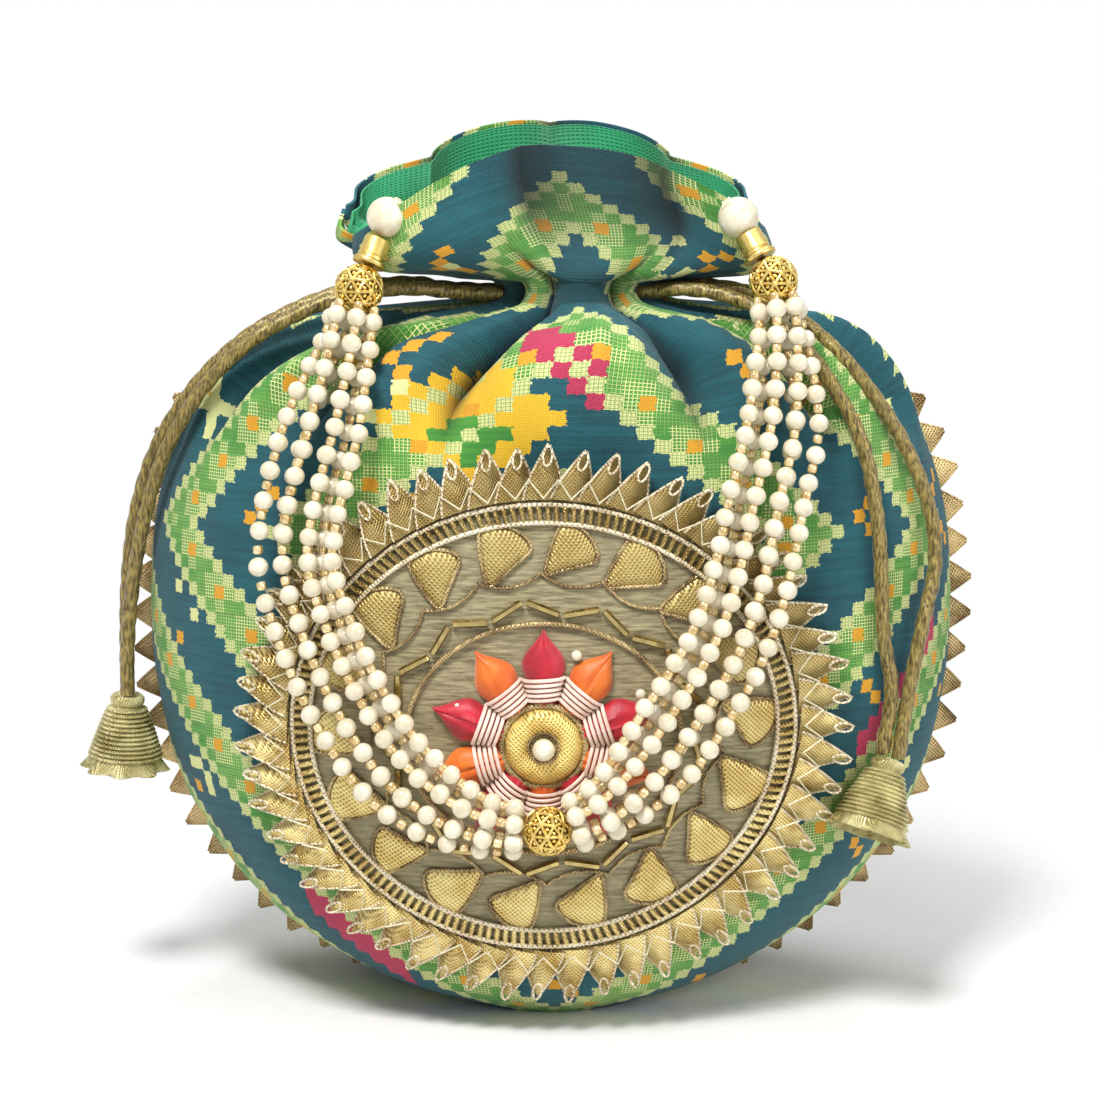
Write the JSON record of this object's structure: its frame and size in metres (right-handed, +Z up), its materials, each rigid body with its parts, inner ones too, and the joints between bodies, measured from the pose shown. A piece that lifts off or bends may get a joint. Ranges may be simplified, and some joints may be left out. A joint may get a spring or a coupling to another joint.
{
  "type": "potli bag",
  "caption": "Round drawstring potli pouch in printed cloth with a plain green lining, an embroidered gold medallion, a folded ribbon edge, two drawstrings with bells and a beaded pearl handle that swings up.",
  "frame": {"origin": "middle of the flat underside that the bag stands on", "axes": "+Z up, -Y towards the embroidered front, +X to the right as seen from the front"},
  "size_m": [0.2236, 0.1142, 0.2211],
  "materials": {
    "printed_cloth": "matt printed cloth, teal with green, cream and ochre lattice",
    "lining_cloth": "plain matt weave",
    "dupion_silk": "slubbed dupion silk",
    "gold_ribbon": "metallic woven ribbon",
    "gold_metal": "bright gold plate",
    "pearl": "ivory pearl lacquer",
    "satin_cord": "twisted satin cord",
    "red_silk": "folded silk",
    "orange_silk": "folded silk",
    "thread": "cotton thread"
  },
  "bodies": {
    "bag": {"outer_front": "printed_cloth", "outer_back": "printed_cloth", "lining": "lining_cloth", "seam_trim": "gold_ribbon", "medallion_patch": "dupion_silk", "petal_trim": "gold_ribbon", "braid_ring": "gold_ribbon", "gota_wedges": "gold_ribbon", "bugle_ring": "gold_metal", "oval_cord": "gold_ribbon", "flower_petal_01": "red_silk", "flower_petal_02": "orange_silk", "flower_petal_03": "red_silk", "flower_petal_04": "orange_silk", "flower_petal_05": "red_silk", "flower_petal_06": "orange_silk", "flower_petal_07": "red_silk", "flower_petal_08": "orange_silk", "flower_petal_09": "red_silk", "flower_petal_10": "orange_silk", "flower_button": "gold_ribbon", "flower_pearl": "pearl", "drawstring_left_front": "satin_cord", "drawstring_left_back": "satin_cord", "drawstring_right_front": "satin_cord", "drawstring_right_back": "satin_cord", "bell_left": "gold_ribbon", "bell_right": "gold_ribbon", "thread_loop_left": "thread", "thread_loop_right": "thread"},
    "handle": {"end_pearl_left": "pearl", "end_pearl_right": "pearl", "tube_cap_left": "gold_metal", "tube_cap_right": "gold_metal", "filigree_ball_left": "gold_metal", "filigree_ball_right": "gold_metal", "center_ball": "gold_metal", "bead_strand_left_1": "pearl", "bead_strand_left_2": "pearl", "bead_strand_left_3": "pearl", "bead_strand_left_4": "pearl", "bead_strand_left_5": "pearl", "bead_strand_left_6": "pearl", "bead_strand_right_1": "pearl", "bead_strand_right_2": "pearl", "bead_strand_right_3": "pearl", "bead_strand_right_4": "pearl", "bead_strand_right_5": "pearl", "bead_strand_right_6": "pearl"}
  },
  "joints": [
    {"name": "handle_swing", "type": "hinge", "parent": "bag", "child": "handle", "pos_m": [0, -0.0195, 0.197], "axis": [-1, 0, 0], "range_deg": [0, 170]}
  ]
}
